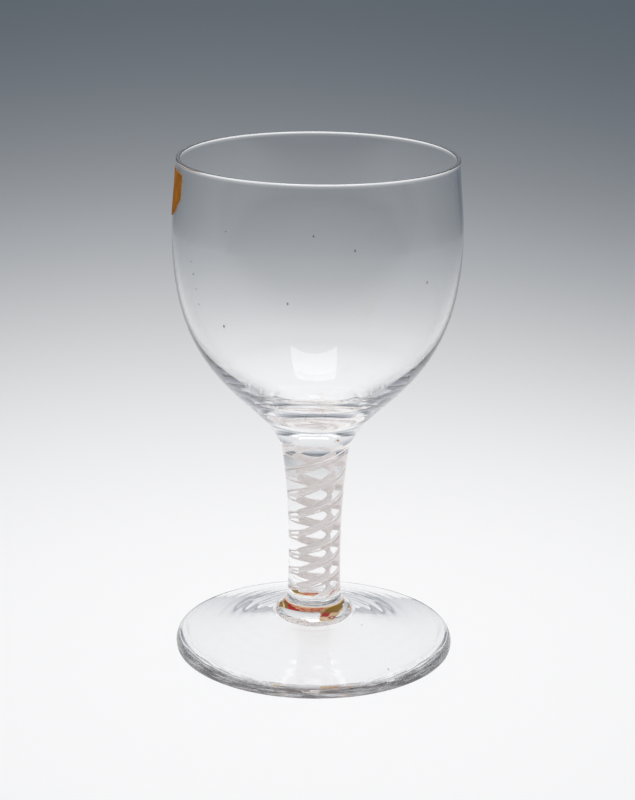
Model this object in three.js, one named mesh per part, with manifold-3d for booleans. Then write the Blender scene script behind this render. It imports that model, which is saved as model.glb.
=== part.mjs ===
// A rummer: a drinking glass with a wide round bowl, a stem with a white enamel twist and a conical foot.
// Sizes are in millimetres and angles in degrees. Z is up, the glass stands on Z = 0, and its axis is Z.
import * as THREE from 'three';
import { mergeVertices } from 'three/addons/utils/BufferGeometryUtils.js';
import Module from 'manifold-3d';

const wasm = await Module();
wasm.setup();

// Foot: a shallow cone with a rounded edge and a collar that takes the stem.
const footRadius = 41.8;
const footHeight = 16.5;
const footEdgeThickness = 3.6;
const footEdgeBulge = 0.16;
const footShoulder = 0.7;
const collarRadius = 12.5;
const collarHeight = 11.3;
const collarThroatRise = 2.6;
const restRingOuterRadius = 41.3;
const restRingInnerRadius = 36.8;
const hollowRadius = 10.2;
const hollowHeight = 7;
const hollowRim = 1.4;
const hollowStep = 0.6;
const undersideLipPull = 0.3;
const undersideRestPull = 0.75;

// Stem: a slender waist low down, flaring up to the bowl. The joint with the bowl lies part way up the neck
// that starts where the flare ends.
const stemLength = 50;
const stemWaistRadius = 7.8;
const stemWaistHeight = 9.5;
const stemBottomRadius = 8.05;
const stemFlareHeight = 46;
const stemFlareRadius = 9.95;
const stemFlarePower = 2.4;

// Enamel twist: the rise of one full turn at the foot, half way up and at the bowl.
const pitchAtFoot = 10.6;
const pitchHalfWay = 12.83;
const pitchAtBowl = 17.13;
const twistStartAngle = -28.5;
const enamelClearance = 0.3;

// Bowl: heights are counted from the joint with the stem.
const bowlHeight = 83.5;
const bowlWidestRadius = 42.13;
const bowlWidestHeight = 62;
const rimRadius = 40.7;
const rimThickness = 1.2;
const bowlWall = 1;
const bowlBaseThickness = 7.6;
const bowlFlankRadius = 15.1;
const bowlFlankHeight = 5.15;
const bowlFlankAngle = 43.7;
const bowlShoulderWall = 2.4;
const bowlShoulderHeight = 20.5;
const bowlShoulderAngle = 48.6;
const bowlSidePull = 0.64;
const bowlShoulderPull = 0.18;
const bowlBasinPull = 0.735;
const bowlBottomShare = 0.375;

// Paper labels.
const sideLabelThickness = 0.25;
const sideLabelGap = 0.3;
const sideLabelBelowRim = 2.8;
const sideLabelHeight = 14.2;
const sideLabelTornHeight = 7;
const sideLabelStartAngle = 179.5;
const sideLabelEndAngle = 201;
const footLabelRadius = 9.6;
const footLabelStartAngle = 78;
const footLabelEndAngle = 163;
const footLabelTornEdge = [[1.2, 2.8], [1.5, -6.2], [5.4, -5.8], [6.1, 2.6]];
const footLabelThickness = 0.25;

// Facets.
const bowlSides = 44;
const stemSides = 28;
const footSides = 48;
const labelSides = 24;
const stemRows = 12;
const neckSteps = 6;
const twistSteps = 52;
const weldDistance = 1e-4;

const stemBase = footHeight;
const bowlBase = stemBase + stemLength;
const sideLabelTop = bowlBase + bowlHeight - sideLabelBelowRim;
const radians = THREE.MathUtils.degToRad;

// The tapes of the twist, in shares of the stem's radius, because the pattern is drawn out with the glass.
// A tape's middle lies at reach from the axis, in the direction bearing, and its width runs turn degrees
// off the tangent there. bow is how far it bends from its middle, per square of the distance along it.
const tapes = [
  { name: 'enamel_inner_tape_1', reach: 0.31, bearing: 134.7, width: 0.51, thickness: 0.08, turn: 8, bow: 0 },
  { name: 'enamel_inner_tape_2', reach: 0.32, bearing: -32.4, width: 0.49, thickness: 0.08, turn: -8.8, bow: 0 },
  { name: 'enamel_outer_tape_1', reach: 0.735, bearing: 127, width: 0.33, thickness: 0.085, turn: 59.3, bow: 0.2 },
  { name: 'enamel_outer_tape_2', reach: 0.7, bearing: 168, width: 0.36, thickness: 0.06, turn: 61.8, bow: -1.5 },
  { name: 'enamel_outer_tape_3', reach: 0.675, bearing: -25.8, width: 0.3, thickness: 0.1, turn: 59.6, bow: -2.2 },
  { name: 'enamel_outer_tape_4', reach: 0.685, bearing: -60.6, width: 0.22, thickness: 0.06, turn: 47.8, bow: 2.2 },
];

// Clear glass, opaque white enamel and printed paper.
function glass() {
  return new THREE.MeshStandardMaterial({
    color: 0xeef1f3, roughness: 0.04, metalness: 0, transparent: true, opacity: 0.35,
  });
}

const enamel = () => new THREE.MeshStandardMaterial({ color: 0xeeeae6, roughness: 0.45, metalness: 0 });
const ochrePaper = () => new THREE.MeshStandardMaterial({ color: 0xbe7d0d, roughness: 0.85, metalness: 0 });
const redPaper = () => new THREE.MeshStandardMaterial({ color: 0xc2412c, roughness: 0.85, metalness: 0 });

// A geometry becomes a closed solid once its shared corners are one and its flattened triangles are gone.
function solidOf(geometry) {
  geometry.deleteAttribute('normal');
  geometry.deleteAttribute('uv');
  const welded = mergeVertices(geometry, weldDistance);
  const corners = welded.index.array;
  const triVerts = [];
  for (let i = 0; i < corners.length; i += 3) {
    const [a, b, c] = [corners[i], corners[i + 1], corners[i + 2]];
    if (a !== b && b !== c && c !== a) triVerts.push(a, b, c);
  }
  const vertProperties = new Float32Array(welded.attributes.position.array);
  return new wasm.Manifold(new wasm.Mesh({ numProp: 3, vertProperties, triVerts: new Uint32Array(triVerts) }));
}

function meshOf(name, solid, material) {
  const shape = solid.getMesh();
  const geometry = new THREE.BufferGeometry();
  geometry.setAttribute('position', new THREE.BufferAttribute(new Float32Array(shape.vertProperties), 3));
  geometry.setIndex(new THREE.BufferAttribute(new Uint32Array(shape.triVerts), 1));
  geometry.computeVertexNormals();
  const mesh = new THREE.Mesh(geometry, material);
  mesh.name = name;
  return mesh;
}

// Turns an outline of (radius, height) points, listed from the bottom up, about the Z axis.
function turned(outline, sides) {
  const geometry = new THREE.LatheGeometry(outline, sides);
  geometry.rotateX(Math.PI / 2);
  return solidOf(geometry);
}

const at = (radius, height) => new THREE.Vector2(radius, height);

function curve(start, startPull, endPull, end, steps) {
  return new THREE.CubicBezierCurve(start, startPull, endPull, end).getPoints(steps);
}

// Radius of an outline at a height, read off between its points.
function radiusOn(outline, height) {
  const next = Math.max(outline.findIndex((point) => point.y >= height), 1);
  const [low, high] = [outline[next - 1], outline[next]];
  return THREE.MathUtils.mapLinear(height, low.y, high.y, low.x, high.x);
}

function shifted(outline, rise) {
  return outline.map((point) => at(point.x, point.y + rise));
}

// Radius of the stem at a height above its joint with the foot.
function stemRadius(height) {
  if (height < stemWaistHeight) {
    const share = 1 - Math.max(height, 0) / stemWaistHeight;
    return stemWaistRadius + (stemBottomRadius - stemWaistRadius) * share ** 2;
  }
  if (height > stemFlareHeight) return radiusOn(neckOutside(), height);
  const share = (height - stemWaistHeight) / (stemFlareHeight - stemWaistHeight);
  return stemWaistRadius + (stemFlareRadius - stemWaistRadius) * share ** stemFlarePower;
}

// The outside of the neck, from the end of the stem's flare to the flank of the bowl. Heights are counted
// from the stem's joint with the foot.
function neckOutside() {
  const flank = at(bowlFlankRadius, stemLength + bowlFlankHeight);
  const rise = flank.y - stemFlareHeight;
  return curve(at(stemFlareRadius, stemFlareHeight), at(stemFlareRadius * 1.02, stemFlareHeight + rise / 4),
    flank.clone().addScaledVector(flankSlope(), -rise / 16), flank, neckSteps);
}

// The direction in which the flank of the bowl leaves the neck.
function flankSlope() {
  return at(1, 0).rotateAround(at(0, 0), radians(bowlFlankAngle));
}

// Angle of the twist at a height above the stem's joint with the foot. The turning rate follows a
// parabola through the rates of the three pitches.
function twistAngle(height) {
  const [low, middle, high] = [pitchAtFoot, pitchHalfWay, pitchAtBowl].map((pitch) => 360 / pitch);
  const slope = 4 * middle - 3 * low - high;
  const bend = 2 * (low + high) - 4 * middle;
  const share = height / stemLength;
  const turnedBy = stemLength * share * (low + share * (slope / 2 + share * bend / 3));
  return radians(twistStartAngle + turnedBy);
}

// The outline of a tape across the stem, grown on every side.
function tapeSection(tape, growth) {
  const half = tape.width / 2 + growth;
  const thin = tape.thickness / 2 + growth;
  const stations = tape.bow === 0 ? [-half, half] : [-half, 0, half];
  const front = stations.map((along) => at(along, tape.bow * along ** 2 - thin));
  const back = stations.map((along) => at(along, tape.bow * along ** 2 + thin)).reverse();
  const middle = at(tape.reach, 0).rotateAround(at(0, 0), radians(tape.bearing));
  const direction = radians(tape.bearing + 90 + tape.turn);
  return [...front, ...back].map((point) => point.rotateAround(at(0, 0), direction).add(middle));
}

// Winds a section up the stem. A channel runs past both ends of the stem, so that it opens there.
function wound(section, overrun) {
  const heights = [];
  for (let step = 0; step <= twistSteps; step += 1) heights.push(stemLength * step / twistSteps);
  if (overrun > 0) {
    heights.unshift(-overrun);
    heights.push(stemLength + overrun);
  }
  const steps = heights.length - 1;
  const geometry = new THREE.ExtrudeGeometry(new THREE.Shape(section), { depth: steps, steps, bevelEnabled: false });
  const places = geometry.attributes.position;
  for (let i = 0; i < places.count; i += 1) {
    const height = heights[Math.round(places.getZ(i))];
    const place = at(places.getX(i), places.getY(i));
    place.multiplyScalar(stemRadius(height)).rotateAround(at(0, 0), twistAngle(height));
    places.setXYZ(i, place.x, place.y, stemBase + height);
  }
  return solidOf(geometry);
}

function enamelTapes() {
  return tapes.map((tape) => meshOf(tape.name, wound(tapeSection(tape, 0), 0), enamel()));
}

// The clear glass of the stem, with a winding channel for each tape.
function stem() {
  const outline = [at(0, 0)];
  for (let row = 0; row <= stemRows; row += 1) {
    const height = stemLength * row / stemRows;
    outline.push(at(stemRadius(height), height));
  }
  outline.push(at(0, stemLength));
  const growth = enamelClearance / stemWaistRadius;
  let solid = turned(shifted(outline, stemBase), stemSides);
  for (const tape of tapes) solid = solid.subtract(wound(tapeSection(tape, growth), 1));
  return meshOf('stem_glass', solid, glass());
}

// The outside of the bowl, from the joint up over a soft neck, the flank and the widest ring to the rim.
function bowlOutside() {
  const joint = at(stemRadius(stemLength), 0);
  const flank = at(bowlFlankRadius, bowlFlankHeight);
  const widest = at(bowlWidestRadius, bowlWidestHeight);
  const lip = at(rimRadius, bowlHeight - rimThickness / 2);
  const flankPull = 0.54 * (bowlWidestRadius - bowlFlankRadius) * Math.SQRT2;
  const widestPull = 0.59 * (bowlWidestHeight - bowlFlankHeight);
  const lipPull = (lip.y - widest.y) / 4;
  const neck = [joint, ...shifted(neckOutside(), -stemLength).filter((point) => point.y > 0)];
  const side = curve(flank, flank.clone().addScaledVector(flankSlope(), flankPull),
    at(widest.x, widest.y - widestPull), widest, 14);
  const top = curve(widest, at(widest.x, widest.y + lipPull), at(lip.x, lip.y - lipPull), lip, 4);
  return [...neck, ...side.slice(1), ...top.slice(1)];
}

// The inside of the bowl, from the rim over the shoulder, where the wall thickens, to the thick base.
function bowlInside() {
  const widest = at(bowlWidestRadius - bowlWall, bowlWidestHeight);
  const lip = at(rimRadius - rimThickness, bowlHeight - rimThickness / 2);
  const shoulder = at(bowlRadiusAt(bowlBase + bowlShoulderHeight) - bowlShoulderWall, bowlShoulderHeight);
  const bottom = at(0, bowlBaseThickness);
  const slope = at(1, 0).rotateAround(at(0, 0), radians(bowlShoulderAngle));
  const lipPull = (lip.y - widest.y) / 4;
  const sideHeight = widest.y - shoulder.y;
  const basinPull = bowlBasinPull * (shoulder.y - bottom.y);
  const top = curve(lip, at(lip.x, lip.y - lipPull), at(widest.x, widest.y + lipPull), widest, 4);
  const side = curve(widest, at(widest.x, widest.y - bowlSidePull * sideHeight),
    shoulder.clone().addScaledVector(slope, bowlShoulderPull * sideHeight), shoulder, 12);
  const basin = curve(shoulder, shoulder.clone().addScaledVector(slope, -basinPull),
    at(bowlBottomShare * shoulder.x, bottom.y), bottom, 8);
  return [...top, ...side.slice(1), ...basin.slice(1)];
}

function bowl() {
  const lipRound = rimThickness / 2;
  const lip = [];
  for (let angle = 45; angle < 180; angle += 45) {
    const offset = at(lipRound, 0).rotateAround(at(0, 0), radians(angle));
    lip.push(at(rimRadius - lipRound, bowlHeight - lipRound).add(offset));
  }
  const outline = [at(0, 0), ...bowlOutside(), ...lip, ...bowlInside()];
  return meshOf('bowl', turned(shifted(outline, bowlBase), bowlSides), glass());
}

// The outline of the foot from the middle of the hollow underneath, out to the edge and up to the joint.
function foot() {
  const lip = at(hollowRadius + hollowRim, hollowHeight - hollowStep);
  const rest = at(restRingInnerRadius, 0);
  const underside = [
    at(0, hollowHeight),
    at(hollowRadius, hollowHeight),
    ...curve(lip, at(THREE.MathUtils.lerp(lip.x, rest.x, undersideLipPull), 0.68 * lip.y),
      at(THREE.MathUtils.lerp(lip.x, rest.x, undersideRestPull), 0.12 * lip.y), rest, 6),
  ];
  const bulge = footRadius + footEdgeBulge;
  const edge = curve(at(restRingOuterRadius, 0), at(bulge, footEdgeThickness * 0.1),
    at(bulge, footEdgeThickness * 0.75), at(footRadius - footShoulder, footEdgeThickness), 6);
  const collar = curve(at(collarRadius, collarHeight),
    at(collarRadius - 2.2, collarHeight + 0.55), at(stemBottomRadius + 0.5, footHeight - collarThroatRise),
    at(stemBottomRadius, footHeight), 6);
  const outline = [...underside, ...edge, ...collar, at(0, footHeight)];
  return meshOf('foot', turned(outline, footSides), glass());
}

// Radius of the outside of the bowl at a height above the table, read off its outline.
function bowlRadiusAt(height) {
  return radiusOn(bowlOutside(), height - bowlBase);
}

// A paper sheet that follows the bowl. Its lower edge is torn off on a slant.
function sideLabel() {
  const columns = 8;
  const rows = 5;
  const geometry = new THREE.BoxGeometry(columns, rows, 1, columns, rows, 1);
  const places = geometry.attributes.position;
  for (let i = 0; i < places.count; i += 1) {
    const across = places.getX(i) / columns + 0.5;
    const up = places.getY(i) / rows + 0.5;
    const outward = 0.5 + places.getZ(i);
    const bottom = sideLabelTop - sideLabelHeight + sideLabelTornHeight * across;
    const height = THREE.MathUtils.lerp(bottom, sideLabelTop, up);
    const radius = bowlRadiusAt(height) + sideLabelGap + sideLabelThickness * outward;
    const angle = radians(THREE.MathUtils.lerp(sideLabelStartAngle, sideLabelEndAngle, across));
    places.setXYZ(i, radius * Math.cos(angle), radius * Math.sin(angle), height);
  }
  return meshOf('bowl_label', solidOf(geometry), ochrePaper());
}

// What is left of a round paper stuck flat against the hollow under the foot: an arc of its edge and the
// tears that run from the arc's ends towards the front.
function footLabel() {
  const shape = new THREE.Shape();
  shape.absarc(0, 0, footLabelRadius, radians(footLabelStartAngle), radians(footLabelEndAngle));
  for (const [x, y] of footLabelTornEdge) shape.lineTo(x, y);
  const geometry = new THREE.ExtrudeGeometry(shape, {
    depth: footLabelThickness, bevelEnabled: false, curveSegments: labelSides,
  });
  geometry.translate(0, 0, hollowHeight - footLabelThickness);
  return meshOf('foot_label', solidOf(geometry), redPaper());
}

const rummer = new THREE.Group();
rummer.name = 'rummer';
rummer.add(foot(), footLabel(), stem(), ...enamelTapes(), bowl(), sideLabel());

export default rummer;
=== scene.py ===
"""A rummer: a wide round bowl, a stem with a white enamel twist and a conical foot, in clear glass."""

import math
import random

import bpy
from mathutils import Matrix, Vector


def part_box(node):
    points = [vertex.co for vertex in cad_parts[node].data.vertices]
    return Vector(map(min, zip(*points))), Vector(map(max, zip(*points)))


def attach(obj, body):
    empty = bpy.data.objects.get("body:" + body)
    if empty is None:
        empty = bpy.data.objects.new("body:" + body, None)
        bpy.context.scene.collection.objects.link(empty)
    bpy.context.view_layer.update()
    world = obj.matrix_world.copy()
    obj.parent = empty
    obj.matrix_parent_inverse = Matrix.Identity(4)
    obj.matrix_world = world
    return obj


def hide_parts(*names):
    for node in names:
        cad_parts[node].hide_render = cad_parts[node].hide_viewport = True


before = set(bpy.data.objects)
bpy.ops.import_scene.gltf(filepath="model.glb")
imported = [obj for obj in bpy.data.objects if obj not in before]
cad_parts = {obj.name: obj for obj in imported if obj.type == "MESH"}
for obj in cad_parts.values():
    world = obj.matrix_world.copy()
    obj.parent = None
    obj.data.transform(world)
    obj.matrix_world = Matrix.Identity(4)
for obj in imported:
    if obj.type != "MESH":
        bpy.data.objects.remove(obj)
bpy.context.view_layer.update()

bl_info = {
    "name": "Rummer with a twist stem",
    "version": (1, 0, 0),
    "blender": (4, 5, 0),
    "location": "View3D > Sidebar > Rummer",
    "description": "Models a blown drinking glass with an enamel twist, its labels and its studio",
    "category": "Add Mesh",
}

MM = 0.001
BODY = "root"
# Places that lie this close together count as one height.
CLOSE = 0.01 * MM
# Material slot of the unseen faces at a fused joint.
JOINT_SLOT = 1
# Rise of the bowl's flank where it leaves the neck, in degrees.
FLANK_ANGLE = 43.7


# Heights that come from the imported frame

def top_of(node):
    """Height of a node's highest point."""
    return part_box(node)[1][2]


def bottom_of(node):
    """Height of a node's lowest point."""
    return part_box(node)[0][2]


STEM_BASE = bottom_of("stem_glass")
BOWL_BASE = bottom_of("bowl")
RIM_HEIGHT = top_of("bowl")
STEM_LENGTH = BOWL_BASE - STEM_BASE
HOLLOW_HEIGHT = top_of("foot_label")


def length(name, description, default, **limits):
    """A size in metres, shown in the scene's length unit."""
    return bpy.props.FloatProperty(
        name=name, description=description, default=default, unit='LENGTH', precision=5, **limits)


def colour(name, description, default):
    """A colour of three values from 0 to 1."""
    return bpy.props.FloatVectorProperty(
        name=name, description=description, default=default, subtype='COLOR', size=3, min=0.0, max=1.0)


class RummerSizes(bpy.types.PropertyGroup):
    """Sizes of the glass, the twist, the labels and the studio."""

    foot_radius: length("Foot radius", "Distance from the axis to the foot's edge", 0.0418)
    foot_edge: length("Foot edge", "Thickness of the glass at the foot's edge", 0.0036)
    collar_radius: length("Collar radius", "Where the collar under the stem runs into the foot", 0.0125)
    collar_height: length("Collar height", "Height of the foot where the collar begins", 0.0113)
    rest_outer: length("Resting ring, outer", "Outer radius of the ring that stands on the table", 0.0413)
    rest_inner: length("Resting ring, inner", "Inner radius of the ring that stands on the table", 0.0368)
    hollow_radius: length("Hollow radius", "Radius of the flat middle of the hollow under the foot", 0.0102)
    waist_radius: length("Stem waist", "Radius of the stem where it is thinnest", 0.0078)
    waist_height: length("Waist height", "Height of the waist above the foot joint", 0.0095)
    stem_bottom: length("Stem bottom", "Radius of the stem at the foot joint", 0.00805)
    flare_height: length("Flare height", "Height above the foot joint where the neck begins", 0.046)
    flare_radius: length("Flare radius", "Radius of the stem at that height", 0.00995)
    widest_radius: length("Bowl radius", "Radius of the bowl at its widest ring", 0.0421)
    widest_height: length("Widest height", "Height of the widest ring above the bowl joint", 0.062)
    rim_radius: length("Rim radius", "Outer radius of the rim", 0.0407)
    rim_wall: length("Rim wall", "Thickness of the glass at the rim", 0.0012)
    bowl_wall: length("Bowl wall", "Thickness of the glass at the widest ring", 0.001)
    bowl_base: length("Bowl base", "Thickness of the glass under the middle of the bowl", 0.0076)
    shoulder_wall: length("Shoulder wall", "Thickness across the wall where it swells to the base", 0.0024)
    shoulder_height: length("Shoulder height", "Height of that place above the bowl joint", 0.0205)
    flank_radius: length("Flank radius", "Radius of the bowl where the neck ends", 0.0151)
    flank_height: length("Flank height", "Height above the bowl joint where the neck ends", 0.00515)
    pitch_foot: length("Pitch at the foot", "Rise of one full turn of the twist at the foot", 0.0106)
    pitch_middle: length("Pitch half way", "Rise of one full turn half way up the stem", 0.01283)
    pitch_bowl: length("Pitch at the bowl", "Rise of one full turn of the twist at the bowl", 0.01713)
    foot_label_radius: length("Foot label", "Radius of the paper under the foot", 0.0096)
    label_thickness: length("Paper", "Thickness of the labels' paper", 0.00014)
    lamp_height: length("Softbox height", "Height of the softbox above the table", 1.0)
    floor_half: length("Table falloff", "Distance at which the light on the table has fallen by half", 0.43)


class RummerColours(bpy.types.PropertyGroup):
    """Colours of the glass, the enamel, the papers and the studio."""

    glass: colour("Glass", "Tint of the clear glass", (0.99, 0.993, 0.994))
    foot_glass: colour("Foot glass", "Tint of the thicker glass of the foot", (0.955, 0.957, 0.96))
    enamel: colour("Enamel", "Opaque white of the twist", (0.92, 0.88, 0.865))
    ochre: colour("Ochre paper", "Paper of the label on the bowl", (0.355, 0.125, 0.004))
    cream: colour("Cream paper", "Paper of the label under the foot", (0.8, 0.56, 0.32))
    olive: colour("Olive print", "Printed ground of the label under the foot", (0.25, 0.135, 0.006))
    red: colour("Red print", "Printed band of the label under the foot", (0.44, 0.008, 0.004))
    # Painted shade: a dark tint laid in streaks on the foot's edge.
    edge_shade: colour("Painted edge shade", "Streaks on the edge of the foot", (0.1, 0.092, 0.095))
    speck: colour("Specks", "Dust and small marks on the glass", (0.08, 0.07, 0.06))
    # The table's colours carry a painted pool of light by the glass and painted shade far away.
    floor_near: colour("Floor by the glass", "Lit table round the foot", (0.945, 0.945, 0.955))
    floor_far: colour("Floor far away", "Where the table falls off into shade", (0.09, 0.112, 0.137))


# Outlines, as (radius, height) points in metres

def way(angle, size):
    """The two parts of a way of a given size at an angle in degrees."""
    return size * math.cos(math.radians(angle)), size * math.sin(math.radians(angle))


def curve(start, start_pull, end, end_pull, steps):
    """Points along a cubic curve, both ends included. A pull leads from an end to its control point."""
    points = []
    for step in range(steps + 1):
        t = step / steps
        u = 1.0 - t
        weights = (u ** 3, 3 * u * u * t, 3 * u * t * t, t ** 3)
        point = []
        for axis in (0, 1):
            corners = (start[axis], start[axis] + start_pull[axis], end[axis] + end_pull[axis], end[axis])
            point.append(sum(weight * corner for weight, corner in zip(weights, corners)))
        points.append(tuple(point))
    return points


def raised(outline, rise):
    """The outline, moved up."""
    return [(radius, height + rise) for radius, height in outline]


def radius_on(outline, height):
    """Radius of an outline at a height, read off between its points."""
    for low, high in zip(outline, outline[1:]):
        if low[1] <= height <= high[1]:
            return low[0] + (high[0] - low[0]) * (height - low[1]) / (high[1] - low[1])
    return outline[-1][0]


def neck_outside(sizes):
    """From the stem's flare to the bowl's flank, in heights above the joint of stem and foot."""
    low_lean, low_share, flank_share = 0.02, 1 / 4, -1 / 16
    low = (sizes.flare_radius, sizes.flare_height)
    flank = (sizes.flank_radius, STEM_LENGTH + sizes.flank_height)
    rise = flank[1] - low[1]
    low_pull, flank_pull = (low_lean * low[0], low_share * rise), way(FLANK_ANGLE, flank_share * rise)
    return curve(low, low_pull, flank, flank_pull, steps=60)


def stem_radius(sizes, height):
    """Radius of the stem at a height above its joint with the foot."""
    waist_power, flare_power = 2, 2.4
    if height < sizes.waist_height:
        share = 1.0 - max(height, 0.0) / sizes.waist_height
        return sizes.waist_radius + (sizes.stem_bottom - sizes.waist_radius) * share ** waist_power
    if height > sizes.flare_height:
        return radius_on(neck_outside(sizes), height)
    share = (height - sizes.waist_height) / (sizes.flare_height - sizes.waist_height)
    return sizes.waist_radius + (sizes.flare_radius - sizes.waist_radius) * share ** flare_power


def twist_angle(sizes, height):
    """How far the twist has turned at a height above the foot joint. Its rate of turning is a parabola
    through the rates at the foot, half way and at the bowl."""
    low, middle, high = (math.tau / p for p in (sizes.pitch_foot, sizes.pitch_middle, sizes.pitch_bowl))
    slope = 4 * middle - 3 * low - high
    bend = 2 * (low + high) - 4 * middle
    share = height / STEM_LENGTH
    return STEM_LENGTH * share * (low + share * (slope / 2 + share * bend / 3))


def bowl_outside(sizes):
    """From the joint over the neck, the flank and the widest ring up to the lip."""
    flank_share, widest_share, lip_share = 0.54 * math.sqrt(2), 0.59, 1 / 4
    flank = (sizes.flank_radius, sizes.flank_height)
    widest = (sizes.widest_radius, sizes.widest_height)
    lip = (sizes.rim_radius, RIM_HEIGHT - BOWL_BASE - sizes.rim_wall / 2)
    flank_pull = way(FLANK_ANGLE, flank_share * (widest[0] - flank[0]))
    lip_pull = lip_share * (lip[1] - widest[1])
    neck = [(stem_radius(sizes, STEM_LENGTH), 0.0)]
    neck += [point for point in raised(neck_outside(sizes), -STEM_LENGTH) if point[1] > CLOSE]
    widest_pull = widest_share * (widest[1] - flank[1])
    side = curve(flank, flank_pull, widest, (0.0, -widest_pull), steps=130)
    top = curve(widest, (0.0, lip_pull), lip, (0.0, -lip_pull), steps=20)
    return neck + side[1:] + top[1:]


def bowl_inside(sizes):
    """From the lip over the shoulder, where the wall swells, to the middle of the thick base."""
    shoulder_angle, lip_share, widest_share, side_share = 48.6, 1 / 4, 0.64, 0.18
    basin_share, bottom_share = 0.735, 0.375
    widest = (sizes.widest_radius - sizes.bowl_wall, sizes.widest_height)
    lip = (sizes.rim_radius - sizes.rim_wall, RIM_HEIGHT - BOWL_BASE - sizes.rim_wall / 2)
    rise = sizes.shoulder_height
    shoulder = (bowl_radius_at(sizes, BOWL_BASE + rise) - sizes.shoulder_wall, rise)
    bottom = (0.0, sizes.bowl_base)
    lip_pull, drop = lip_share * (lip[1] - widest[1]), widest[1] - rise
    side_pull = way(shoulder_angle, side_share * drop)
    basin_pull = way(shoulder_angle, -basin_share * (rise - bottom[1]))
    top = curve(lip, (0.0, -lip_pull), widest, (0.0, lip_pull), steps=20)
    side = curve(widest, (0.0, -widest_share * drop), shoulder, side_pull, steps=44)
    basin = curve(shoulder, basin_pull, bottom, (bottom_share * shoulder[0], 0.0), steps=44)
    return top + side[1:] + basin[1:]


def bowl_radius_at(sizes, height):
    """Outer radius of the bowl at a height above the table."""
    return radius_on(bowl_outside(sizes), height - BOWL_BASE)


def foot_underside(sizes):
    """From the middle of the hollow over its soft lip down to the resting ring."""
    lip_run, lip_drop, lip_pull = 1.4 * MM, 0.6 * MM, (-0.4 * MM, 0.1 * MM)
    lip_out, lip_down, rest_in, rest_up = 0.3, 0.32, 0.25, 0.12
    rings = 20
    flat = [(sizes.hollow_radius * ring / rings, HOLLOW_HEIGHT) for ring in range(rings + 1)]
    lip = (sizes.hollow_radius + lip_run, HOLLOW_HEIGHT - lip_drop)
    rest = (sizes.rest_inner, 0.0)
    run, drop = rest[0] - lip[0], lip[1]
    turn = curve(flat[-1], (lip_run / 2, 0.0), lip, lip_pull, steps=6)
    vault = curve(lip, (lip_out * run, -lip_down * drop), rest, (-rest_in * run, rest_up * drop), steps=40)
    return flat + turn[1:] + vault[1:]


def foot_outside(sizes):
    """From the resting ring round the edge and up the rippled slope, then over the collar to the stem."""
    bulge, shoulder_run, rest_up, shoulder_down = 0.16 * MM, 0.7 * MM, 0.1, 0.25
    slope_low, slope_high = (-2.0 * MM, 0.55 * MM), (10 * MM, -2.2 * MM)
    throat_low, throat_high = (-2.2 * MM, 0.55 * MM), (0.5 * MM, -2.6 * MM)
    rest = (sizes.rest_outer, 0.0)
    shoulder = (sizes.foot_radius - shoulder_run, sizes.foot_edge)
    collar = (sizes.collar_radius, sizes.collar_height)
    rest_pull = (sizes.foot_radius + bulge - rest[0], rest_up * sizes.foot_edge)
    shoulder_pull = (bulge + shoulder_run, -shoulder_down * sizes.foot_edge)
    edge = curve(rest, rest_pull, shoulder, shoulder_pull, steps=18)
    slope = curve(shoulder, slope_low, collar, slope_high, steps=90)
    slope = rippled(slope, across=1, low=collar[0], high=shoulder[0], spacing=4.1 * MM, depth=0.025 * MM)
    throat = curve(collar, throat_low, (sizes.stem_bottom, STEM_BASE), throat_high, steps=30)
    return edge + slope[1:] + throat[1:]


def rippled(outline, across, low, high, spacing, depth):
    """The outline with fine ripples, across its radius (0) or its height (1), between two values."""
    result = []
    for point in outline:
        share = (point[1 - across] - low) / (high - low)
        swell = math.sin(math.pi * share) ** 2 if 0 < share < 1 else 0.0
        moved = list(point)
        moved[across] += depth * swell * math.sin(math.tau * point[1 - across] / spacing)
        result.append(tuple(moved))
    return result


# Modelling steps

def object_mode():
    """Leave edit mode and let go of everything."""
    if bpy.context.object and bpy.context.object.mode != 'OBJECT':
        bpy.ops.object.mode_set(mode='OBJECT')
    bpy.ops.object.select_all(action='DESELECT')


def named(name):
    """Name the active object and its mesh."""
    piece = bpy.context.object
    piece.name = name
    piece.data.name = name
    return piece


def turned(name, outline, sides):
    """Draw an outline as a chain of edges, then spin it into a closed body round the Z axis."""
    weld, soft_angle = 0.002 * MM, math.radians(38)
    object_mode()
    bpy.ops.mesh.primitive_plane_add(size=MM, location=(0, 0, 0))
    piece = named(name)
    bpy.ops.object.mode_set(mode='EDIT')
    bpy.ops.mesh.select_mode(type='VERT')
    bpy.ops.mesh.merge(type='CENTER')
    here = Vector((0.0, 0.0, 0.0))
    start = Vector((outline[0][0], 0.0, outline[0][1]))
    bpy.ops.transform.translate(value=start - here)
    here = start
    for radius, height in outline[1:]:
        there = Vector((radius, 0.0, height))
        bpy.ops.mesh.extrude_vertices_move(TRANSFORM_OT_translate={"value": there - here})
        here = there
    bpy.ops.mesh.select_all(action='SELECT')
    bpy.ops.mesh.spin(steps=sides, angle=math.tau, center=(0, 0, 0), axis=(0, 0, 1), use_auto_merge=True)
    bpy.ops.mesh.select_all(action='SELECT')
    bpy.ops.mesh.remove_doubles(threshold=weld)
    bpy.ops.mesh.normals_make_consistent(inside=False)
    bpy.ops.object.mode_set(mode='OBJECT')
    bpy.ops.object.shade_smooth_by_angle(angle=soft_angle)
    return piece


def mark_joint(piece, height, touches=None):
    """Give the flat faces of a fused joint their own material slot, where something touches them."""
    upright = 0.99
    for face in piece.data.polygons:
        level = abs(face.center.z - height) < CLOSE and abs(face.normal.z) > upright
        if level and (touches is None or touches(face.center.x, face.center.y)):
            face.material_index = JOINT_SLOT


def thicken(piece, thickness, side):
    """Turn a sheet into a closed body, on the side its faces look to (1) or on the other (-1)."""
    solid = piece.modifiers.new("Paper", 'SOLIDIFY')
    solid.thickness = thickness
    solid.offset = side
    bpy.ops.object.modifier_apply(modifier=solid.name)


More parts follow.
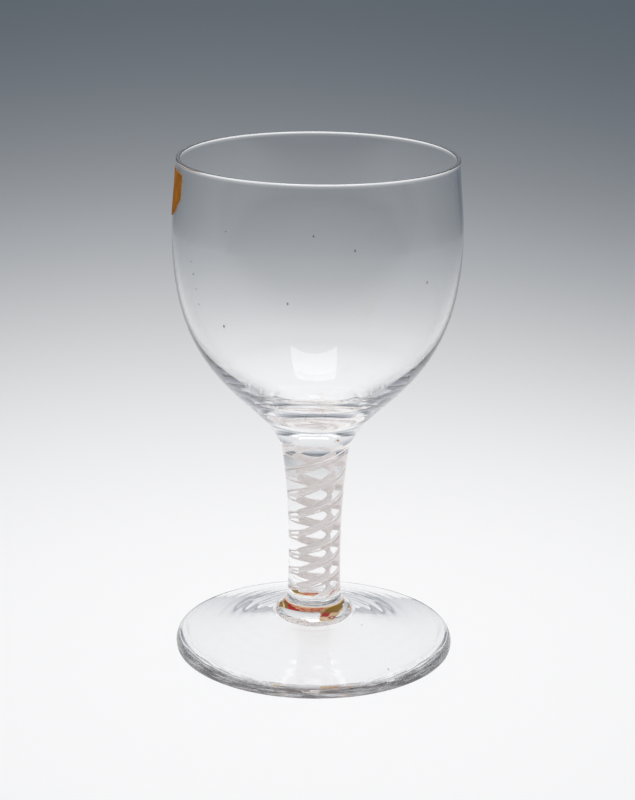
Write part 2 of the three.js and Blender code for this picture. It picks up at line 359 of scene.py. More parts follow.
def round_axis(radius, bearing, height):
    """A place at a radius from the axis, on a bearing in degrees, at a height."""
    return *way(bearing, radius), height


def finish_piece(piece, node):
    """Seat a piece on the body and hide the imported node it stands for."""
    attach(piece, BODY)
    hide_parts(node)


# Material helpers

def new_material(name):
    """An empty node material."""
    material = bpy.data.materials.new(name)
    material.use_nodes = True
    material.node_tree.nodes.clear()
    return material


def feed(tree, socket, value):
    """Give an input a link, a colour or a plain value."""
    if isinstance(value, bpy.types.NodeSocket):
        tree.links.new(value, socket)
    elif socket.type == 'RGBA':
        socket.default_value = (*tuple(value)[:3], 1.0)
    else:
        socket.default_value = value


def add(tree, kind, **inputs):
    """Add a node and feed its inputs by name."""
    node = tree.nodes.new(kind)
    for name, value in inputs.items():
        feed(tree, node.inputs[name.replace("_", " ")], value)
    return node


def show(tree, shader):
    """Send a shader to the surface."""
    add(tree, 'ShaderNodeOutputMaterial', Surface=shader)


def operate(tree, kind, operation, *values):
    """One step of arithmetic on sockets and fixed values."""
    step = tree.nodes.new(kind)
    step.operation = operation
    for socket, value in zip(step.inputs, values):
        feed(tree, socket, value)
    return step.outputs


def calculate(tree, operation, *values):
    """One step of arithmetic on numbers."""
    return operate(tree, 'ShaderNodeMath', operation, *values)[0]


def combine(tree, operation, *values):
    """One step of arithmetic on vectors that gives a vector."""
    return operate(tree, 'ShaderNodeVectorMath', operation, *values)['Vector']


def measure(tree, operation, *values):
    """One step of arithmetic on vectors that gives a number."""
    return operate(tree, 'ShaderNodeVectorMath', operation, *values)['Value']


def average(tree, share, low, high):
    """Mix two numbers."""
    mix = tree.nodes.new('ShaderNodeMix')
    for place, value in ((0, share), (2, low), (3, high)):
        feed(tree, mix.inputs[place], value)
    return mix.outputs[0]


def blend(tree, share, low, high, kind='MIX'):
    """Mix two colours."""
    mix = tree.nodes.new('ShaderNodeMix')
    mix.data_type = 'RGBA'
    mix.blend_type = kind
    for place, value in ((0, share), (6, low), (7, high)):
        feed(tree, mix.inputs[place], value)
    return mix.outputs[2]


def either(tree, share, low, high):
    """Mix two shaders."""
    mix = tree.nodes.new('ShaderNodeMixShader')
    for socket, value in zip(mix.inputs, (share, low, high)):
        feed(tree, socket, value)
    return mix.outputs[0]


def remap(tree, value, low, high, start=0.0, kind='LINEAR'):
    """Stretch a value so that low becomes start and high becomes 1."""
    step = add(tree, 'ShaderNodeMapRange', Value=value, From_Min=low, From_Max=high, To_Min=start)
    step.interpolation_type = kind
    return step.outputs['Result']


def any_ray(tree, *kinds):
    """1 for the rays of these kinds and 0 for all others."""
    rays = tree.nodes.new('ShaderNodeLightPath').outputs
    result = rays[f"Is {kinds[0]} Ray"]
    for kind in kinds[1:]:
        result = calculate(tree, 'MAXIMUM', result, rays[f"Is {kind} Ray"])
    return result


def object_place(tree):
    """The shaded place on its piece, in metres."""
    return tree.nodes.new('ShaderNodeTexCoord').outputs['Object']


def axes(tree, place):
    """The coordinates of a place."""
    return add(tree, 'ShaderNodeSeparateXYZ', Vector=place).outputs


def noise(tree, scale, detail, output='Fac', **more):
    """Noise all over a piece."""
    grain = add(tree, 'ShaderNodeTexNoise', Vector=object_place(tree), Scale=scale, Detail=detail, **more)
    return grain.outputs[output]


def shades(tint, *shares):
    """Darker and paler shades of a colour."""
    return [[min(1.0, share * value) for value in tint] for share in shares]


def set_stops(ramp, stops):
    """Give a colour ramp its stops, blended softly."""
    ramp.color_ramp.interpolation = 'B_SPLINE'
    elements = ramp.color_ramp.elements
    while len(elements) < len(stops):
        elements.new(0.5)
    for element, (position, tint) in zip(elements, stops):
        element.position = position
        element.color = (*tint, 1.0)


# Effects that materials share: each fills a node group with one result

def hand_worked(group, given):
    """Slow waves and fine ripples of glass that was worked by hand, as a height."""
    wave = noise(group, given['Wave Scale'], detail=1.0)
    ripple = noise(group, given['Ripple Scale'], detail=2.0)
    return average(group, given['Ripple Share'], wave, ripple)


def speck(group, given):
    """A soft dot with a rough edge round a place, drawn out upwards, as a mask."""
    roughness, drawn_out, core = 0.4 * MM, 0.55, 0.45
    rough = noise(group, scale=2500.0, detail=1.0, output='Color')
    bent = combine(group, 'MULTIPLY_ADD', rough, (roughness,) * 3, object_place(group))
    away = combine(group, 'SUBTRACT', bent, given['Place'])
    far = measure(group, 'LENGTH', combine(group, 'MULTIPLY', away, (1.0, 1.0, drawn_out)))
    return remap(group, calculate(group, 'DIVIDE', far, given['Reach']), 1.0, core, kind='SMOOTHSTEP')


def paper_fibre(group, given):
    """Fibres and small unevenness of old paper, as a shade from 0 to 1."""
    blotch_share = 0.45
    fine = noise(group, given['Scale'], detail=5.0, Roughness=0.7, Distortion=1.5)
    blotch = noise(group, scale=220.0, detail=2.0)
    return average(group, blotch_share, fine, blotch)


EFFECTS = {
    "Hand-worked surface": (hand_worked, {"Wave Scale": 30.0, "Ripple Scale": 120.0, "Ripple Share": 0.3}),
    "Speck": (speck, {"Place": (0.0, 0.0, 0.0), "Reach": MM}),
    "Paper fibre": (paper_fibre, {"Scale": 1500.0}),
}


def effect(name):
    """The node group of a shared effect, built when it is first asked for."""
    group = bpy.data.node_groups.get(name)
    if group:
        return group
    build, inputs = EFFECTS[name]
    group = bpy.data.node_groups.new(name, 'ShaderNodeTree')
    for label, default in inputs.items():
        kind = 'NodeSocketVector' if isinstance(default, tuple) else 'NodeSocketFloat'
        group.interface.new_socket(label, in_out='INPUT', socket_type=kind).default_value = default
    group.interface.new_socket("Result", in_out='OUTPUT', socket_type='NodeSocketFloat')
    given = group.nodes.new('NodeGroupInput').outputs
    add(group, 'NodeGroupOutput', Result=build(group, given))
    return group


def use(tree, name, **values):
    """Place a shared effect in a tree and give its result."""
    node = tree.nodes.new('ShaderNodeGroup')
    node.node_tree = effect(name)
    for label, value in values.items():
        feed(tree, node.inputs[label.replace("_", " ")], value)
    return node.outputs['Result']


# Marks on the glass

def specks(tree, places):
    """One mask for a list of dots, each a place and a reach."""
    noise_middle = 0.2 * MM
    mask = None
    for place, reach in places:
        dot = use(tree, "Speck", Place=[value + noise_middle for value in place], Reach=reach)
        mask = dot if mask is None else calculate(tree, 'MAXIMUM', mask, dot)
    return mask


def fed_by(socket):
    """What an input holds now: the socket linked to it or its own value."""
    return socket.links[0].from_socket if socket.is_linked else socket.default_value


def tint_where(tree, surface, mask, dark, rough):
    """Darken and roughen a surface under a mask."""
    tint, roughness = surface.inputs['Base Color'], surface.inputs['Roughness']
    feed(tree, tint, blend(tree, mask, fed_by(tint), dark))
    feed(tree, roughness, calculate(tree, 'MULTIPLY_ADD', mask, rough, fed_by(roughness)))


def edge_shade_streaks(tree, radius, height):
    """Painted shade in streaks on the edge of the foot, outside a radius and under a height, as a mask."""
    flat, squash = (1.0, 1.0, 0.0), (1.0, 1.0, 9.0)
    inner, outer, upper, lower = 0.4 * MM, 0.3 * MM, 0.4 * MM, 0.6 * MM
    place = object_place(tree)
    far = measure(tree, 'LENGTH', combine(tree, 'MULTIPLY', place, flat))
    outside = remap(tree, far, radius - inner, radius + outer)
    below = remap(tree, axes(tree, place)['Z'], height + upper, height - lower)
    streak = add(tree, 'ShaderNodeTexNoise', Vector=combine(tree, 'MULTIPLY', place, squash),
                 Scale=160.0, Detail=4.0, Roughness=0.65)
    strong = remap(tree, streak.outputs['Fac'], low=0.32, high=0.56)
    return calculate(tree, 'MULTIPLY', calculate(tree, 'MULTIPLY', outside, below), strong)


# Materials

def glass_material(name, tint, wave_scale, ripple_scale, strength, distance):
    """Clear lead glass that lets lamplight through to what lies inside it."""
    material = new_material(name)
    tree = material.node_tree
    waves = use(tree, "Hand-worked surface", Wave_Scale=wave_scale, Ripple_Scale=ripple_scale)
    bump = add(tree, 'ShaderNodeBump', Strength=strength, Distance=distance, Height=waves)
    surface = add(tree, 'ShaderNodeBsdfPrincipled', Base_Color=tint, Roughness=0.0, IOR=1.54,
                  Transmission_Weight=1.0, Normal=bump.outputs['Normal'])
    clear = add(tree, 'ShaderNodeBsdfTransparent', Color=(0.97, 0.975, 0.98))
    lamplight = any_ray(tree, "Shadow", "Diffuse")
    show(tree, either(tree, lamplight, surface.outputs['BSDF'], clear.outputs['BSDF']))
    return material, surface


def joint_material():
    """The fused joint between two masses of glass, which can't be seen."""
    material = bpy.data.materials.get("Fused joint")
    if material:
        return material
    material = new_material("Fused joint")
    clear = add(material.node_tree, 'ShaderNodeBsdfTransparent')
    show(material.node_tree, clear.outputs['BSDF'])
    return material


def dress_glass(piece, material):
    """Glass outside, and the unseen joint in the second slot."""
    piece.data.materials.append(material)
    piece.data.materials.append(joint_material())


def enamel_material(tint):
    """Opaque white glass cane, slightly uneven in its shade."""
    material = new_material("White enamel")
    tree = material.node_tree
    dark, pale = shades(tint, 0.9, 1.08)
    shade = blend(tree, noise(tree, scale=900.0, detail=2.0), dark, pale)
    surface = add(tree, 'ShaderNodeBsdfPrincipled', Roughness=0.5, Base_Color=shade)
    show(tree, surface.outputs['BSDF'])
    return material


def paper_surface(name, scale):
    """A matt paper with fibres: the material, its surface and the value that shades its colour."""
    material = new_material(name)
    tree = material.node_tree
    shade = use(tree, "Paper fibre", Scale=scale)
    bump = add(tree, 'ShaderNodeBump', Strength=0.4, Distance=0.03 * MM, Height=shade)
    surface = add(tree, 'ShaderNodeBsdfPrincipled', Roughness=0.85, Specular_IOR_Level=0.1,
                  Normal=bump.outputs['Normal'])
    show(tree, surface.outputs['BSDF'])
    return material, surface, shade


def ochre_paper(tint):
    """Ochre paper, paler in some fibres and brown in others."""
    material, surface, shade = paper_surface("Ochre paper", scale=1800.0)
    tree = material.node_tree
    dark, pale = shades(tint, 0.5, 1.3)
    contrast = remap(tree, shade, low=0.33, high=0.66)
    feed(tree, surface.inputs['Base Color'], blend(tree, contrast, dark, pale))
    return material


def printed_paper(colours, radius):
    """Olive paper with cream edges, a red band with cream dashes, a red patch and a small white ring.
    Its places are in millimetres from the middle of the sheet, with y to the back."""
    past, border, wobble = 20.0, 0.8 * MM, 0.8 * MM
    lean, band_low, band_right, stripe = -0.475, -6.1, 1.7, (-7.6, -6.9)
    patch_across, patch_along = (2.0, 3.8), (-1.6, 2.2)
    dashes_across, dash_edge, row_wave, column_wave = (-2.2, 2.2), 0.1, 4400.0, 2700.0
    ring, ring_outer, ring_inner, ring_white = (5.0, -2.6), 1.05, 0.42, (0.95, 0.93, 0.9)
    cream_right, cream_front, cream_left, cream_left_front = 5.6, 1.8, 1.4, 3.5
    age = 0.7
    material, surface, shade = paper_surface("Printed paper", scale=1500.0)
    tree = material.node_tree
    shift = noise(tree, scale=500.0, detail=2.0, output='Color')
    x, y = axes(tree, combine(tree, 'MULTIPLY_ADD', shift, (wobble, wobble, 0.0), object_place(tree)))[:2]

    def both(first, second):
        return calculate(tree, 'MULTIPLY', first, second)

    def any_of(first, *others):
        for other in others:
            first = calculate(tree, 'MAXIMUM', first, other)
        return first

    def inside(value, low, high):
        above = calculate(tree, 'GREATER_THAN', value, low * MM)
        return both(above, calculate(tree, 'LESS_THAN', value, high * MM))

    def far(middle):
        across = calculate(tree, 'SUBTRACT', x, middle[0] * MM)
        along = calculate(tree, 'SUBTRACT', y, middle[1] * MM)
        return calculate(tree, 'SQRT', calculate(tree, 'MULTIPLY_ADD', along, along, both(across, across)))

    slant = calculate(tree, 'MULTIPLY_ADD', y, lean, x)
    band = both(inside(slant, band_low, past), inside(x, -past, band_right))
    waves = both(calculate(tree, 'SINE', both(y, row_wave)), calculate(tree, 'SINE', both(x, column_wave)))
    dash = both(calculate(tree, 'GREATER_THAN', waves, dash_edge), inside(x, *dashes_across))
    rim = calculate(tree, 'GREATER_THAN', far((0.0, 0.0)), radius - border)
    left = both(inside(y, -past, cream_left_front), inside(x, -past, cream_left))
    front = inside(y, -past, cream_front)
    edge = any_of(inside(slant, *stripe), inside(x, cream_right, past), rim, front, left)
    patch = both(inside(x, *patch_across), inside(y, *patch_along))
    dashed = blend(tree, dash, blend(tree, band, colours.olive, colours.red), colours.cream)
    edged = blend(tree, edge, dashed, colours.cream)
    ringed = any_of(patch, inside(far(ring), 0.0, ring_outer))
    patched = blend(tree, ringed, edged, colours.red)
    printed = blend(tree, inside(far(ring), 0.0, ring_inner), patched, ring_white)
    old = blend(tree, age, printed, remap(tree, shade, low=0.3, high=0.52), 'MULTIPLY')
    feed(tree, surface.inputs['Base Color'], old)
    return material


# Marks and torn edges, by place

# Places of the specks: bearing round the axis in degrees, height above the table and reach in millimetres.
BOWL_SPECKS = ((-130.0, 107.7, 0.42), (-91.5, 136.1, 0.3), (-76.0, 132.0, 0.3), (-43.3, 120.4, 0.32),
               (-101.0, 117.0, 0.36), (-145.8, 120.8, 0.26), (-144.5, 116.6, 0.22), (-143.8, 112.3, 0.24),
               (-147.0, 124.3, 0.2), (-127.0, 135.3, 0.2))
SPECK_ROUGHNESS = 0.5
# Corners of the tears across the paper under the foot, in millimetres.
FOOT_LABEL_TEARS = ((1.2, 2.8), (1.5, -6.2), (5.4, -5.8), (6.1, 2.6))
# On the foot: bearing, radius, height and reach.
FOOT_SPECKS = ((-36.2, 17.8, 10.0, 0.34), (-54.3, 37.5, 4.6, 0.34), (169.6, 15.2, 10.7, 0.3))


def foot_label_border(radius):
    """What is left of the round paper under the foot: an arc of its edge and the ragged tears."""
    start, end, arc_steps, tear_steps, jag = 78, 163, 40, 10, 0.16
    chance = random.Random(9)
    border = [way(start + (end - start) * step / arc_steps, radius) for step in range(arc_steps + 1)]
    corners = [border[-1]] + [(x * MM, y * MM) for x, y in FOOT_LABEL_TEARS] + [border[0]]
    for begin, finish in zip(corners, corners[1:]):
        for step in range(tear_steps):
            share = (step + 0.5) / tear_steps
            border.append(tuple(b + (f - b) * share + chance.uniform(-jag, jag) * MM
                                for b, f in zip(begin, finish)))
    return border


def covers(border, x, y):
    """Whether a place lies inside a border."""
    inside = False
    for low, high in zip(border, border[1:] + border[:1]):
        if (low[1] > y) != (high[1] > y):
            crossing = low[0] + (high[0] - low[0]) * (y - low[1]) / (high[1] - low[1])
            inside = inside != (x < crossing)
    return inside


class RUMMER_OT_foot(bpy.types.Operator):
    """Spin the foot: a shallow cone with a soft edge, a collar and a hollow underneath"""

    bl_idname = "rummer.foot"
    bl_label = "Foot"

    def execute(self, context):
        sizes, colours = context.scene.rummer_sizes, context.scene.rummer_colours
        outline = foot_underside(sizes) + foot_outside(sizes) + [(0.0, STEM_BASE)]
        piece = turned("foot_body", outline, sides=160)
        mark_joint(piece, STEM_BASE)
        paper = foot_label_border(sizes.foot_label_radius)
        mark_joint(piece, HOLLOW_HEIGHT, lambda x, y: covers(paper, x, y))
        glass, surface = glass_material("Foot glass", colours.foot_glass, wave_scale=40.0, ripple_scale=160.0,
                                        strength=0.25, distance=0.1 * MM)
        tree = glass.node_tree
        # Painted shade: the glass's colour is darkened in streaks along the foot's edge.
        edge_shade_mask = edge_shade_streaks(tree, radius=41.1 * MM, height=3.4 * MM)
        tint_where(tree, surface, edge_shade_mask, colours.edge_shade, rough=0.3)
        places = [(round_axis(radius * MM, bearing, height * MM), reach * MM)
                  for bearing, radius, height, reach in FOOT_SPECKS]
        tint_where(tree, surface, specks(tree, places), colours.speck, SPECK_ROUGHNESS)
        dress_glass(piece, glass)
        finish_piece(piece, "foot")
        return {'FINISHED'}


class RUMMER_OT_stem(bpy.types.Operator):
    """Spin the clear glass of the stem"""

    bl_idname = "rummer.stem"
    bl_label = "Stem"

    def execute(self, context):
        sizes, colours = context.scene.rummer_sizes, context.scene.rummer_colours
        rows = 60
        heights = [STEM_LENGTH * row / rows for row in range(rows + 1)]
        side = [(stem_radius(sizes, height), height) for height in heights]
        outline = [(0.0, 0.0)] + side + [(0.0, STEM_LENGTH)]
        piece = turned("stem_body", raised(outline, STEM_BASE), sides=128)
        mark_joint(piece, STEM_BASE)
        mark_joint(piece, BOWL_BASE)
        glass, _ = glass_material("Stem glass", colours.glass, wave_scale=60.0, ripple_scale=220.0,
                                  strength=0.08, distance=0.05 * MM)
        dress_glass(piece, glass)
        finish_piece(piece, "stem_glass")
        return {'FINISHED'}


# Tapes across the stem, in shares of its radius: reach from the axis, bearing, width, thickness,
# turn off the tangent and bow per square of the distance along.
TAPES = {
    "enamel_inner_tape_1": (0.31, 134.7, 0.51, 0.08, 8.0, 0.0),
    "enamel_inner_tape_2": (0.32, -32.4, 0.49, 0.08, -8.8, 0.0),
    "enamel_outer_tape_1": (0.735, 127.0, 0.33, 0.085, 59.3, 0.2),
    "enamel_outer_tape_2": (0.7, 168.0, 0.36, 0.06, 61.8, -1.5),
    "enamel_outer_tape_3": (0.675, -25.8, 0.3, 0.1, 59.6, -2.2),
    "enamel_outer_tape_4": (0.685, -60.6, 0.22, 0.06, 47.8, 2.2),
}
TWIST_START = math.radians(-28.5)


class RUMMER_OT_enamel(bpy.types.Operator):
    """Wind the white tapes of the twist up the stem"""

    bl_idname = "rummer.enamel"
    bl_label = "Enamel twist"

    steps = 230
    end_gap = 0.05 * MM
    soft_angle = math.radians(50)

    def section(self, name, tape, scale):
        """One tape's outline at the foot of the stem, as a filled ring."""
        reach, bearing, width, thickness, turn, bow = tape
        roundness = 3
        object_mode()
        bpy.ops.mesh.primitive_circle_add(vertices=20, radius=1.0, fill_type='NGON', location=(0, 0, 0))
        piece = named(name.replace("enamel_", "white_"))
        direction = Matrix.Rotation(math.radians(bearing + 90 + turn) + TWIST_START, 4, 'Z')
        away = Matrix.Rotation(math.radians(bearing) + TWIST_START, 4, 'Z') @ Vector((reach, 0, 0))
        for corner in piece.data.vertices:
            along = corner.co.x * width / 2
            flat = max(0.0, 1.0 - abs(corner.co.x) ** roundness) ** (1 / roundness)
            across = math.copysign(flat, corner.co.y) * thickness / 2 + bow * along * along
            place = direction @ Vector((along, across, 0.0)) + away
            corner.co = Vector((place.x * scale, place.y * scale, STEM_BASE + self.end_gap))
        return piece

    def execute(self, context):
        sizes, colours = context.scene.rummer_sizes, context.scene.rummer_colours
        low, high = self.end_gap, STEM_LENGTH - self.end_gap
        pieces = [self.section(name, tape, stem_radius(sizes, low)) for name, tape in TAPES.items()]
        object_mode()
        for piece in pieces:
            piece.select_set(True)
        bpy.ops.object.mode_set(mode='EDIT')
        bpy.ops.mesh.select_mode(type='FACE')
        bpy.ops.mesh.select_all(action='SELECT')
        height = low
        for step in range(1, self.steps + 1):
            above = low + (high - low) * step / self.steps
            turn = twist_angle(sizes, above) - twist_angle(sizes, height)
            swell = stem_radius(sizes, above) / stem_radius(sizes, height)
            bpy.ops.mesh.extrude_region_move(TRANSFORM_OT_translate={"value": (0, 0, above - height)})
            bpy.ops.transform.rotate(value=-turn, orient_axis='Z', center_override=(0, 0, 0))
            bpy.ops.transform.resize(value=(swell, swell, 1), center_override=(0, 0, 0))
            height = above
        bpy.ops.mesh.select_all(action='SELECT')
        bpy.ops.mesh.normals_make_consistent(inside=False)
        bpy.ops.object.mode_set(mode='OBJECT')
        bpy.ops.object.shade_smooth_by_angle(angle=self.soft_angle)
        material = enamel_material(colours.enamel)
        for piece, name in zip(pieces, TAPES):
            piece.data.materials.append(material)
            finish_piece(piece, name)
        return {'FINISHED'}


class RUMMER_OT_bowl(bpy.types.Operator):
    """Spin the bowl with its thick base and rounded lip"""

    bl_idname = "rummer.bowl"
    bl_label = "Bowl"

    def execute(self, context):
        sizes, colours = context.scene.rummer_sizes, context.scene.rummer_colours
        round_lip = sizes.rim_wall / 2
        middle = (sizes.rim_radius - round_lip, RIM_HEIGHT - BOWL_BASE - round_lip)
        lip = []
        for angle in range(15, 180, 15):
            across, up = way(angle, round_lip)
            lip.append((middle[0] + across, middle[1] + up))
        outside = rippled(bowl_outside(sizes), across=0, low=0.5 * MM, high=17 * MM,
                          spacing=1.7 * MM, depth=0.01 * MM)
        outline = [(0.0, 0.0)] + outside + lip + bowl_inside(sizes)
        piece = turned("bowl_body", raised(outline, BOWL_BASE), sides=160)
        mark_joint(piece, BOWL_BASE)
        glass, surface = glass_material("Bowl glass", colours.glass, wave_scale=22.0, ripple_scale=90.0,
                                        strength=0.12, distance=0.1 * MM)
        places = [(round_axis(bowl_radius_at(sizes, height * MM), bearing, height * MM), reach * MM)
                  for bearing, height, reach in BOWL_SPECKS]
        tint_where(glass.node_tree, surface, specks(glass.node_tree, places), colours.speck, SPECK_ROUGHNESS)
        dress_glass(piece, glass)
        finish_piece(piece, "bowl")
        return {'FINISHED'}


class RUMMER_OT_labels(bpy.types.Operator):
    """Stick the ochre paper on the bowl and the round paper under the foot"""

    bl_idname = "rummer.labels"
    bl_label = "Paper labels"

    def bowl_label(self, sizes, colours):
        """A torn sheet that follows the bowl."""
        start, end, glue = 179.5, 201.0, 0.02 * MM
        tear_rise, tear_jag, top_gap = 7 * MM, 0.25 * MM, 0.2 * MM
        columns, rows, jags = 40, 36, 64
        low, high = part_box("bowl_label")
        object_mode()
        bpy.ops.mesh.primitive_grid_add(x_subdivisions=columns, y_subdivisions=rows, size=1.0,
                                        location=(0, 0, 0))
        piece = named("bowl_paper")
        chance = random.Random(4)
        jag = [chance.uniform(-1, 1) for _ in range(jags)]
        for corner in piece.data.vertices:
            across, up = corner.co.x + 0.5, corner.co.y + 0.5
            torn = tear_jag * jag[int(round(across * columns)) % jags]
            bottom = low[2] + tear_rise * across * across + torn
            height = bottom + (high[2] - top_gap - bottom) * up
            radius = bowl_radius_at(sizes, height) + glue
            corner.co = Vector(round_axis(radius, start + (end - start) * across, height))
        thicken(piece, sizes.label_thickness, 1.0)
        piece.data.materials.append(ochre_paper(colours.ochre))
        finish_piece(piece, "bowl_label")

    def foot_label(self, sizes, colours):
        """What is left of a round sheet against the hollow under the foot."""
        glue = 0.03 * MM
        radius = sizes.foot_label_radius
        border = foot_label_border(radius)
        object_mode()
        bpy.ops.mesh.primitive_circle_add(vertices=len(border), radius=radius, fill_type='NGON',
                                          location=(0, 0, 0))
        piece = named("foot_paper")
        for corner, place in zip(piece.data.vertices, border):
            corner.co = Vector((*place, HOLLOW_HEIGHT - glue))
        bpy.ops.object.mode_set(mode='EDIT')
        bpy.ops.mesh.select_all(action='SELECT')
        bpy.ops.mesh.normals_make_consistent(inside=False)
        bpy.ops.object.mode_set(mode='OBJECT')
        thicken(piece, sizes.label_thickness, -math.copysign(1.0, piece.data.polygons[0].normal.z))
        piece.data.materials.append(printed_paper(colours, radius))
        finish_piece(piece, "foot_label")

    def execute(self, context):
        sizes, colours = context.scene.rummer_sizes, context.scene.rummer_colours
        self.bowl_label(sizes, colours)
        self.foot_label(sizes, colours)
        return {'FINISHED'}


def floor_material(sizes, colours):
    """A pale table with a painted pool of light round the glass and to the left behind it, that falls off
    into painted blue-grey shade.
    What the glass mirrors and bends of its front half carries painted shade, darker than what the camera
    sees."""
    steepness, glow_share = 2.4, 0.75
    back_start, back_rise, narrowing, drift, front_squeeze = -0.23, 1.54, 1.1, 0.13, -0.25
    front_far, front_near, front_shade = -0.4, -0.12, 0.15
    material = new_material("Table")
    tree = material.node_tree
    x, y = axes(tree, object_place(tree))[:2]
    behind = calculate(tree, 'MAXIMUM', calculate(tree, 'MULTIPLY_ADD', y, back_rise, back_start), 0.0)
    aside = calculate(tree, 'MULTIPLY_ADD', x, narrowing, drift)
    across = calculate(tree, 'MULTIPLY_ADD', aside, behind, x)
    along = calculate(tree, 'MULTIPLY_ADD', calculate(tree, 'MINIMUM', y, 0.0), front_squeeze, y)
    squares = calculate(tree, 'MULTIPLY_ADD', along, along, calculate(tree, 'MULTIPLY', across, across))
    far = calculate(tree, 'DIVIDE', calculate(tree, 'SQRT', squares), sizes.floor_half)
    fallen = calculate(tree, 'ADD', calculate(tree, 'POWER', far, steepness), 1.0)
    # Painted pool of light: the colour is paler near the glass and falls off into painted shade.
    ground = blend(tree, calculate(tree, 'DIVIDE', 1.0, fallen), colours.floor_far, colours.floor_near)
    # Painted shade on the table's front half, for every ray but the camera's.
    front = remap(tree, y, front_far, front_near, front_shade, 'SMOOTHSTEP')
    open_part = calculate(tree, 'MAXIMUM', front, any_ray(tree, "Camera"))
    shaded = blend(tree, open_part, (0.0, 0.0, 0.0), ground)
    matt = add(tree, 'ShaderNodeBsdfDiffuse', Color=shaded).outputs['BSDF']
    glow = add(tree, 'ShaderNodeEmission', Color=shaded).outputs['Emission']
    seen = any_ray(tree, "Camera", "Glossy", "Transmission")
    show(tree, either(tree, seen, matt, either(tree, glow_share, matt, glow)))
    return material


def softbox_material(strength):
    """The glowing cloth of a softbox."""
    material = new_material("Softbox")
    glow = add(material.node_tree, 'ShaderNodeEmission', Strength=strength)
    show(material.node_tree, glow.outputs['Emission'])
    return material


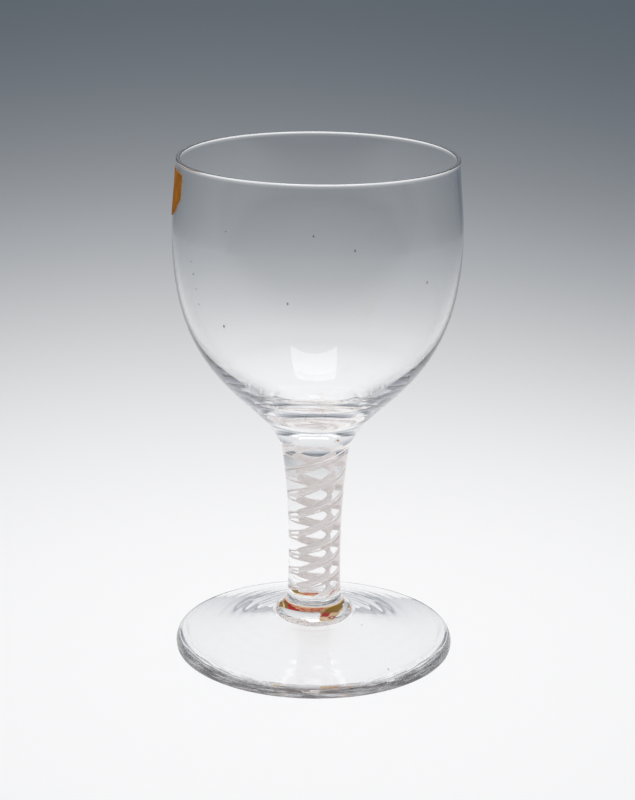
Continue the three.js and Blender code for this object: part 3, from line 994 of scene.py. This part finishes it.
class RUMMER_OT_stage(bpy.types.Operator):
    """Set the table, the world, the softbox and the camera"""

    bl_idname = "rummer.stage"
    bl_label = "Stage"

    camera_place = (0.00044, -0.616455, 0.267231)
    camera_pitch = 17.133
    camera_roll = 0.59
    focal_length = 98.3
    sensor_width = 36.0
    table_radius = 6.0
    table_gap = 0.02 * MM
    even_light = (0.86, 0.86, 0.86)
    ceiling_tilt = 23.0
    ceiling = [(-1.0, (0.02, 0.02, 0.025)), (-0.3, (0.06, 0.066, 0.08)), (0.0, (0.1, 0.112, 0.138)),
               (0.2, (0.15, 0.165, 0.195)), (0.37, (0.22, 0.24, 0.28)), (0.5, (0.42, 0.44, 0.48)),
               (0.65, (0.75, 0.76, 0.78)), (1.0, (0.88, 0.88, 0.88))]
    lamp_strength = 2.8
    lamp_back = 0.48
    lamp_front = -0.09
    lamp_hollow = 0.12
    lamp_half_front = 0.31
    lamp_half_back = 0.2
    lamp_shift = 0.045

    def table(self, sizes, colours):
        """A wide round floor just under the glass."""
        object_mode()
        bpy.ops.mesh.primitive_circle_add(vertices=96, radius=self.table_radius, fill_type='TRIFAN',
                                          location=(0, 0, -self.table_gap))
        floor = named("table_top")
        floor.data.materials.append(floor_material(sizes, colours))

    def camera(self):
        """The photograph's point of view."""
        object_mode()
        bpy.ops.object.camera_add(location=self.camera_place)
        camera = bpy.context.object
        camera.name = "camera"
        tilt = Matrix.Rotation(math.radians(90 - self.camera_pitch), 4, 'X')
        roll = Matrix.Rotation(math.radians(self.camera_roll), 4, 'Z')
        camera.rotation_euler = (tilt @ roll).to_euler()
        camera.data.lens = self.focal_length
        camera.data.sensor_width = self.sensor_width
        bpy.context.scene.camera = camera

    def world(self, colours):
        """Even light all round. The glass mirrors a dark room with a pale ceiling that leans to the back."""
        world = bpy.data.worlds.new("Studio")
        bpy.context.scene.world = world
        world.use_nodes = True
        tree = world.node_tree
        even = tree.nodes['Background']
        feed(tree, even.inputs['Color'], self.even_light)
        tilt = math.radians(self.ceiling_tilt)
        place = tree.nodes.new('ShaderNodeTexCoord').outputs['Generated']
        lean = measure(tree, 'DOT_PRODUCT', place, (0.0, math.sin(tilt), math.cos(tilt)))
        ramp = add(tree, 'ShaderNodeValToRGB', Fac=calculate(tree, 'MULTIPLY_ADD', lean, 0.5, 0.5))
        set_stops(ramp, [((height + 1.0) / 2.0, tint) for height, tint in self.ceiling])
        room = add(tree, 'ShaderNodeBackground', Color=ramp.outputs['Color'])
        backdrop = add(tree, 'ShaderNodeBackground', Color=colours.floor_far)
        mirrored = any_ray(tree, "Glossy", "Transmission")
        around = either(tree, mirrored, even.outputs[0], room.outputs[0])
        seen = either(tree, any_ray(tree, "Camera"), around, backdrop.outputs[0])
        feed(tree, tree.nodes['World Output'].inputs['Surface'], seen)

    def softbox(self, sizes):
        """A lamp overhead, narrower at the back and hollowed along its front edge."""
        object_mode()
        bpy.ops.mesh.primitive_grid_add(x_subdivisions=16, y_subdivisions=2, size=2.0, location=(0, 0, 0))
        lamp = named("softbox")
        for corner in lamp.data.vertices:
            across, back = corner.co.x, (corner.co.y + 1.0) / 2
            half = self.lamp_half_front + (self.lamp_half_back - self.lamp_half_front) * back
            middle = self.lamp_shift * (1.0 - back)
            front = self.lamp_front - self.lamp_hollow * across * across
            place = (middle + half * across, front + (self.lamp_back - front) * back, sizes.lamp_height)
            corner.co = Vector(place)
        bpy.ops.object.mode_set(mode='EDIT')
        bpy.ops.mesh.select_all(action='SELECT')
        bpy.ops.mesh.flip_normals()
        bpy.ops.object.mode_set(mode='OBJECT')
        lamp.data.materials.append(softbox_material(self.lamp_strength))

    def execute(self, context):
        sizes, colours = context.scene.rummer_sizes, context.scene.rummer_colours
        self.table(sizes, colours)
        self.world(colours)
        self.softbox(sizes)
        self.camera()
        context.scene.view_settings.view_transform = 'Standard'
        light_paths = context.scene.cycles
        light_paths.max_bounces = 40
        light_paths.glossy_bounces = 32
        light_paths.transmission_bounces = 32
        light_paths.transparent_max_bounces = 24
        return {'FINISHED'}


class RUMMER_PT_panel(bpy.types.Panel):
    """Sizes, colours and steps of the rummer"""

    bl_label = "Rummer"
    bl_idname = "RUMMER_PT_panel"
    bl_space_type = 'VIEW_3D'
    bl_region_type = 'UI'
    bl_category = "Rummer"

    def draw(self, context):
        scene, layout = context.scene, self.layout
        for group, properties in ((RummerSizes, scene.rummer_sizes), (RummerColours, scene.rummer_colours)):
            for name in group.__annotations__:
                layout.prop(properties, name)
        for operator in STEPS:
            layout.operator(operator.bl_idname)


STEPS = (RUMMER_OT_foot, RUMMER_OT_stem, RUMMER_OT_enamel, RUMMER_OT_bowl, RUMMER_OT_labels,
         RUMMER_OT_stage)
CLASSES = (RummerSizes, RummerColours, *STEPS, RUMMER_PT_panel)


def register():
    """Register the classes and hang the settings on the scene."""
    for cls in CLASSES:
        bpy.utils.register_class(cls)
    bpy.types.Scene.rummer_sizes = bpy.props.PointerProperty(type=RummerSizes)
    bpy.types.Scene.rummer_colours = bpy.props.PointerProperty(type=RummerColours)


def unregister():
    """Take the settings and the classes away again."""
    del bpy.types.Scene.rummer_colours
    del bpy.types.Scene.rummer_sizes
    for cls in reversed(CLASSES):
        bpy.utils.unregister_class(cls)


def main():
    """Model every piece in order."""
    register()
    bpy.ops.rummer.foot()
    bpy.ops.rummer.stem()
    bpy.ops.rummer.enamel()
    bpy.ops.rummer.bowl()
    bpy.ops.rummer.labels()
    bpy.ops.rummer.stage()


if __name__ == "__main__":
    main()
